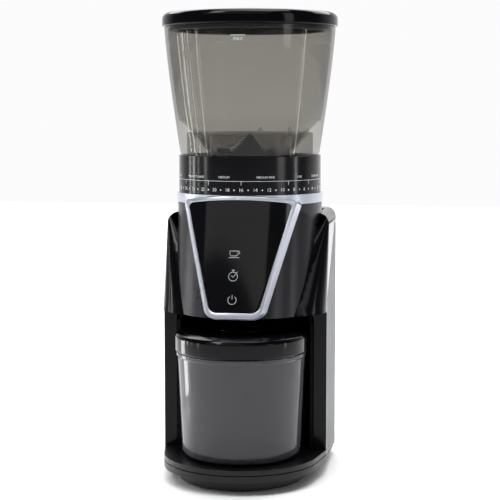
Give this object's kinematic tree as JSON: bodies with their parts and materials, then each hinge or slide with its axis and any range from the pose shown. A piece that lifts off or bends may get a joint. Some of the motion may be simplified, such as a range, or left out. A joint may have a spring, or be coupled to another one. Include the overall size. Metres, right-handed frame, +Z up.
{
  "type": "burr coffee grinder",
  "caption": "Upright conical burr coffee grinder with a smoked hopper, a stepped grind ring, a leaning touch panel and a lidded jar in a bay.",
  "frame": {"origin": "on the floor under the middle of the object's box", "axes": "+X across to the right seen from the front, +Y from the front to the back, +Z up along the grinding axis"},
  "size_m": [0.139, 0.1764, 0.364],
  "materials": {
    "foot_rubber": "matt black rubber",
    "base_black": "satin black moulding",
    "tray_black": "satin black moulding",
    "screw_steel": "zinc plated",
    "shell_gloss_black": "polished black moulding",
    "side_silver": "satin silver",
    "bay_black": "fine-textured black moulding",
    "head_satin_black": "satin black moulding",
    "trim_silver": "satin silver",
    "panel_gloss_black": "polished black touch panel with pale icons",
    "circuit_board": "green solder mask",
    "ribbon_grey": "grey ribbon",
    "gearbox_grey": "glass-filled moulding",
    "motor_steel": "plated can",
    "rotor_copper": "laminated stack with copper windings",
    "gear_brass": "cut gear",
    "gear_nylon": "natural nylon",
    "lead_pvc": "insulated wire",
    "transformer_yellow": "taped windings on a core",
    "gland_black": "moulded rubber",
    "shaft_steel": "ground steel",
    "bearing_bronze": "sintered bronze",
    "seal_felt": "felt",
    "chamber_nylon": "natural moulding",
    "burr_steel": "hardened steel",
    "ring_gloss_black": "polished black moulding with a white scale",
    "hopper_smoke": "smoke-grey clear moulding",
    "lid_gloss_black": "polished black moulding",
    "seal_silicone": "soft silicone",
    "jar_smoke": "smoke-grey clear moulding"
  },
  "bodies": {
    "housing": {"rubber_feet": "foot_rubber", "base_plate": "base_black", "base_pan": "base_black", "base_tray": "tray_black", "base_screws": "screw_steel", "side_shell_left": "shell_gloss_black", "side_shell_right": "shell_gloss_black", "side_panel_left": "side_silver", "side_panel_right": "side_silver", "rear_cover": "shell_gloss_black", "bay_liner": "bay_black", "head_shell": "head_satin_black", "neck_shell": "head_satin_black", "neck_band": "trim_silver", "panel_bezel": "trim_silver", "touch_panel": "panel_gloss_black", "touch_board": "circuit_board", "panel_lead": "ribbon_grey", "chute": "bay_black", "damper_bushes": "foot_rubber", "gearbox_base": "gearbox_grey", "gearbox_cover": "gearbox_grey", "gearbox_screws": "screw_steel", "motor_can": "motor_steel", "motor_screws": "screw_steel", "motor_leads": "lead_pvc", "power_board": "circuit_board", "transformer": "transformer_yellow", "cord_gland": "gland_black", "idler_pin": "screw_steel", "lower_bearing": "bearing_bronze", "upper_bearing": "shaft_steel", "shaft_seal": "seal_felt", "grind_chamber": "chamber_nylon", "chamber_screws": "screw_steel", "detent_leaf": "shaft_steel"},
    "rotor": {"motor_rotor": "rotor_copper", "drive_pinion": "gear_brass"},
    "idler": {"idler_gear": "gear_nylon"},
    "burr_drive": {"output_gear": "gear_brass", "burr_shaft": "shaft_steel", "sweeper": "gear_nylon", "lower_burr": "burr_steel", "burr_nut": "screw_steel"},
    "grind_ring": {"grind_ring": "ring_gloss_black"},
    "burr_carrier": {"burr_carrier": "chamber_nylon", "upper_burr": "burr_steel"},
    "hopper": {"hopper_shell": "hopper_smoke", "feed_guard": "ring_gloss_black"},
    "hopper_lid": {"hopper_lid": "lid_gloss_black", "lid_seal": "seal_silicone"},
    "jar": {"jar": "jar_smoke"},
    "jar_lid": {"jar_lid": "lid_gloss_black", "jar_seal": "seal_silicone"}
  },
  "joints": [
    {"name": "rotor_spin", "type": "hinge", "parent": "housing", "child": "rotor", "pos_m": [0, 0.0498, 0.1], "axis": [0, 0, 1], "continuous": true},
    {"name": "idler_spin", "type": "hinge", "parent": "housing", "child": "idler", "pos_m": [0.02131, 0.03491, 0.15], "axis": [0, 0, 1], "continuous": true},
    {"name": "burr_spin", "type": "hinge", "parent": "housing", "child": "burr_drive", "pos_m": [0, 0.0138, 0.18], "axis": [0, 0, 1], "continuous": true},
    {"name": "grind_adjust", "type": "hinge", "parent": "housing", "child": "grind_ring", "pos_m": [0, 0.0138, 0.23], "axis": [0, 0, 1], "range_deg": [-82.5, 82.5]},
    {"name": "burr_lift", "type": "slide", "parent": "grind_ring", "child": "burr_carrier", "axis": [0, 0, 1], "range_m": [-0.0005, 0.0005]},
    {"name": "hopper_lock", "type": "hinge", "parent": "grind_ring", "child": "hopper", "pos_m": [0, 0.0138, 0.26], "axis": [0, 0, 1], "range_deg": [0, 24]},
    {"name": "hopper_lid_lift", "type": "slide", "parent": "hopper", "child": "hopper_lid", "axis": [0, 0, 1], "range_m": [0, 0.12]},
    {"name": "jar_slide", "type": "slide", "parent": "housing", "child": "jar", "axis": [0, -1, 0], "range_m": [0, 0.13]},
    {"name": "jar_lid_lift", "type": "slide", "parent": "jar", "child": "jar_lid", "axis": [0, 0, 1], "range_m": [0, 0.009]}
  ],
  "couplings": [
    {"joint": "idler_spin", "follows": "rotor_spin", "ratio": -0.3},
    {"joint": "burr_spin", "follows": "rotor_spin", "ratio": 0.091304},
    {"joint": "burr_lift", "follows": "grind_adjust", "m_per_rad": 0.00031831}
  ]
}
